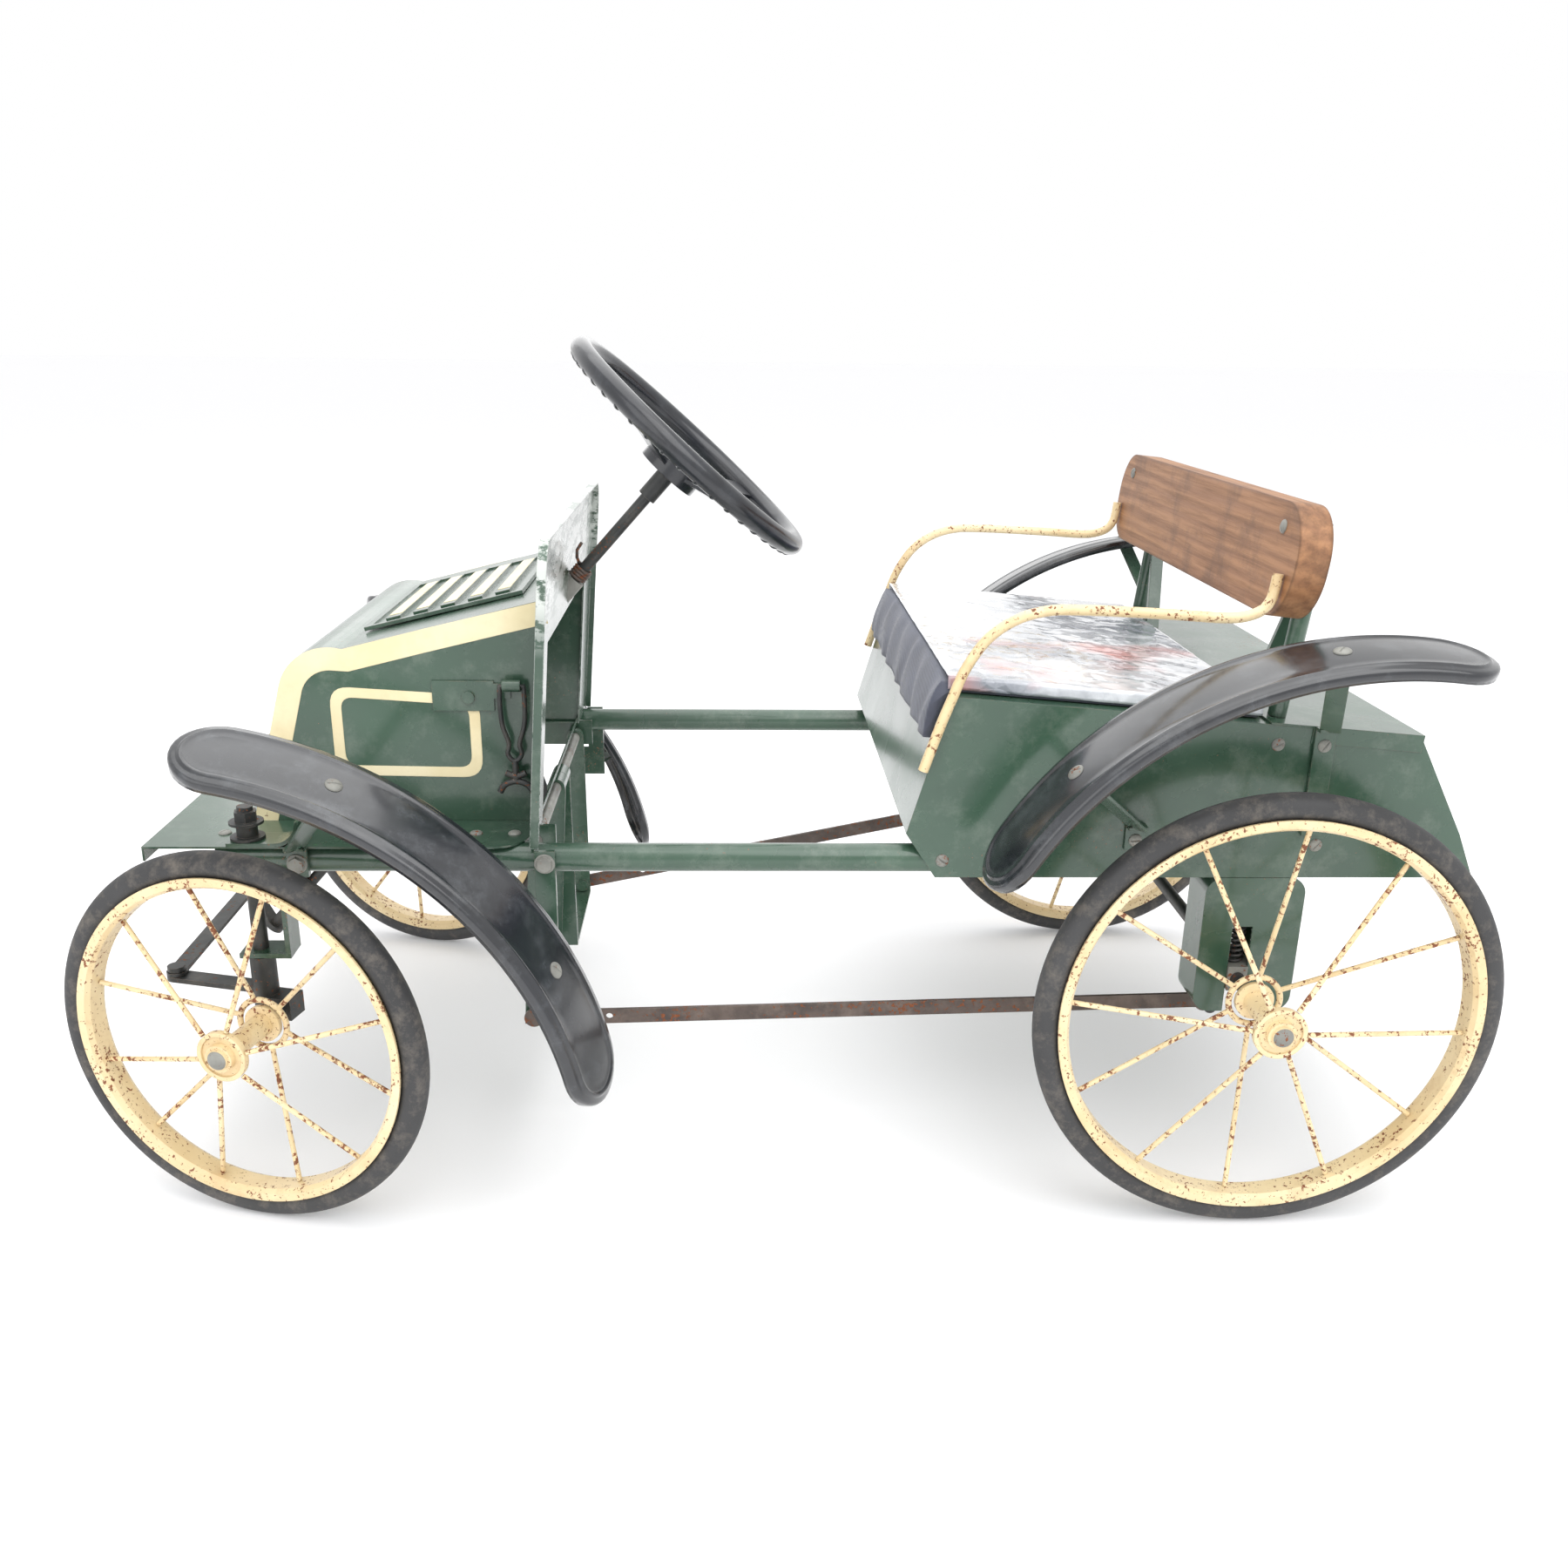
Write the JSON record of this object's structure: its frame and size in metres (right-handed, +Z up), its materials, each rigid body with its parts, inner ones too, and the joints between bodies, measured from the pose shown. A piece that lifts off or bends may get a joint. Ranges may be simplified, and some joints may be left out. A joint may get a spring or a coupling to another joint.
{
  "type": "pedal car",
  "caption": "Old child's pedal car in worn dark green with cream wire wheels, black mudguards, sheet bonnet, boxed seat with wooden backrest, steering wheel and crank drive by pedals.",
  "frame": {"origin": "Centre of the bounding box in X and Y, on the floor at Z = 0", "axes": "+X forward (bonnet end), +Y to the car's left, +Z up"},
  "size_m": [1.1002, 0.64, 0.6569],
  "materials": {
    "green_paint": "semi-gloss, worn",
    "black_gloss": "gloss, dusty",
    "cream_paint": "semi-gloss, rust-specked",
    "tyre_rubber": "matte, greyed",
    "worn_steel": "satin, dull",
    "rusty_steel": "matte, rusted",
    "blackened_steel": "satin",
    "black_plastic": "gloss",
    "dark_fabric": "matte woven",
    "clear_film": "gloss, crinkled",
    "board_wood": "worn oil"
  },
  "bodies": {
    "chassis": {"left_rail": "green_paint", "right_rail": "green_paint", "front_tray": "green_paint", "kingpin_brackets": "green_paint", "bonnet": "green_paint", "louvre_panel": "green_paint", "dash_panel": "green_paint", "column_bracket": "worn_steel", "shaft_brackets": "green_paint", "pedal_shaft": "worn_steel", "catch_straps": "green_paint", "front_mudguard_left": "black_gloss", "front_mudguard_right": "black_gloss", "rear_mudguard_left": "black_gloss", "rear_mudguard_right": "black_gloss", "front_stays": "green_paint", "rear_stays": "green_paint", "seat_box": "green_paint", "rear_deck": "green_paint", "seat_cushion": "dark_fabric", "seat_film": "clear_film", "seat_posts": "green_paint", "backrest_board": "board_wood", "armrest_left": "cream_paint", "armrest_right": "cream_paint", "axle_hanger_left": "green_paint", "axle_hanger_right": "green_paint", "hanger_springs": "blackened_steel", "screws": "worn_steel"},
    "steering": {"steering_wheel_rim": "black_plastic", "steering_wheel_spider": "worn_steel", "steering_column": "rusty_steel", "tie_wire": "rusty_steel"},
    "knuckle_left_body": {"knuckle_left": "blackened_steel"},
    "knuckle_right_body": {"knuckle_right": "blackened_steel"},
    "front_left_wheel": {"front_left_tyre": "tyre_rubber", "front_left_rim": "cream_paint", "front_left_spokes": "cream_paint", "front_left_hub": "cream_paint"},
    "front_right_wheel": {"front_right_tyre": "tyre_rubber", "front_right_rim": "cream_paint", "front_right_spokes": "cream_paint", "front_right_hub": "cream_paint"},
    "track_rod_body": {"track_rod": "rusty_steel"},
    "sprung_blocks": {"axle_blocks": "worn_steel"},
    "driven_axle": {"crank_axle": "blackened_steel", "rear_left_tyre": "tyre_rubber", "rear_left_rim": "cream_paint", "rear_left_spokes": "cream_paint", "rear_left_hub": "cream_paint"},
    "rear_right_wheel": {"rear_right_tyre": "tyre_rubber", "rear_right_rim": "cream_paint", "rear_right_spokes": "cream_paint", "rear_right_hub": "cream_paint"},
    "rod_left": {"connecting_rod_left": "rusty_steel"},
    "rod_right": {"connecting_rod_right": "rusty_steel"},
    "pedal_left_body": {"pedal_left": "green_paint"},
    "pedal_right_body": {"pedal_right": "green_paint"},
    "catch_left": {"catch_loop_left": "rusty_steel"},
    "catch_right": {"catch_loop_right": "rusty_steel"}
  },
  "joints": [
    {"name": "steering_turn", "type": "hinge", "parent": "chassis", "child": "steering", "pos_m": [0.06785, 0, 0.569], "axis": [-0.6691, 0, 0.7431], "range_deg": [-6, 78]},
    {"name": "kingpin_left", "type": "hinge", "parent": "chassis", "child": "knuckle_left_body", "pos_m": [0.40378, 0.205, 0.152], "axis": [0, 0, 1], "range_deg": [-3, 32]},
    {"name": "kingpin_right", "type": "hinge", "parent": "chassis", "child": "knuckle_right_body", "pos_m": [0.40378, -0.205, 0.152], "axis": [0, 0, 1], "range_deg": [-3, 32]},
    {"name": "track_rod_swing", "type": "hinge", "parent": "knuckle_left_body", "child": "track_rod_body", "pos_m": [0.48112, 0.18456, 0.1688], "axis": [0, 0, 1], "range_deg": [-32, 3]},
    {"name": "front_left_spin", "type": "hinge", "parent": "knuckle_left_body", "child": "front_left_wheel", "pos_m": [0.40285, 0.26803, 0.152], "axis": [0.2554, 0.9668, 0], "continuous": true},
    {"name": "front_right_spin", "type": "hinge", "parent": "knuckle_right_body", "child": "front_right_wheel", "pos_m": [0.37184, -0.25934, 0.152], "axis": [0.2554, 0.9668, 0], "continuous": true},
    {"name": "axle_lift", "type": "slide", "parent": "chassis", "child": "sprung_blocks", "axis": [0, 0, 1], "range_m": [0, 0.01], "stiffness_N_per_m": 12000, "springref_m": -0.0125, "deforming": ["hanger_springs"]},
    {"name": "crank_spin", "type": "hinge", "parent": "sprung_blocks", "child": "driven_axle", "pos_m": [-0.37215, 0, 0.178], "axis": [0, 1, 0], "continuous": true},
    {"name": "rear_right_spin", "type": "hinge", "parent": "driven_axle", "child": "rear_right_wheel", "pos_m": [-0.37215, -0.285, 0.178], "axis": [0, 1, 0], "continuous": true},
    {"name": "rod_left_swing", "type": "hinge", "parent": "driven_axle", "child": "rod_left", "pos_m": [-0.37215, 0.156, 0.128], "axis": [0, 1, 0], "continuous": true},
    {"name": "rod_right_swing", "type": "hinge", "parent": "driven_axle", "child": "rod_right", "pos_m": [-0.37215, -0.156, 0.228], "axis": [0, 1, 0], "continuous": true},
    {"name": "pedal_left_swing", "type": "hinge", "parent": "chassis", "child": "pedal_left_body", "pos_m": [0.18985, 0.081, 0.274], "axis": [0, 1, 0], "range_deg": [-17, 17]},
    {"name": "pedal_right_swing", "type": "hinge", "parent": "chassis", "child": "pedal_right_body", "pos_m": [0.18985, -0.081, 0.274], "axis": [0, 1, 0], "range_deg": [-17, 17]},
    {"name": "catch_left_swing", "type": "hinge", "parent": "chassis", "child": "catch_left", "pos_m": [0.20285, 0.1646, 0.402], "axis": [1, 0, 0], "range_deg": [0, 100]},
    {"name": "catch_right_swing", "type": "hinge", "parent": "chassis", "child": "catch_right", "pos_m": [0.20285, -0.1646, 0.402], "axis": [-1, 0, 0], "range_deg": [0, 100]}
  ],
  "couplings": [
    {"joint": "kingpin_left", "follows": "steering_turn", "ratio": 0.40659},
    {"joint": "kingpin_right", "follows": "steering_turn", "ratio": 0.40659},
    {"joint": "track_rod_swing", "follows": "steering_turn", "ratio": -0.40659},
    {"joint": "rod_left_swing", "follows": "crank_spin", "ratio": -1},
    {"joint": "rod_right_swing", "follows": "crank_spin", "ratio": -1},
    {"joint": "pedal_right_swing", "follows": "pedal_left_swing", "ratio": -1}
  ]
}
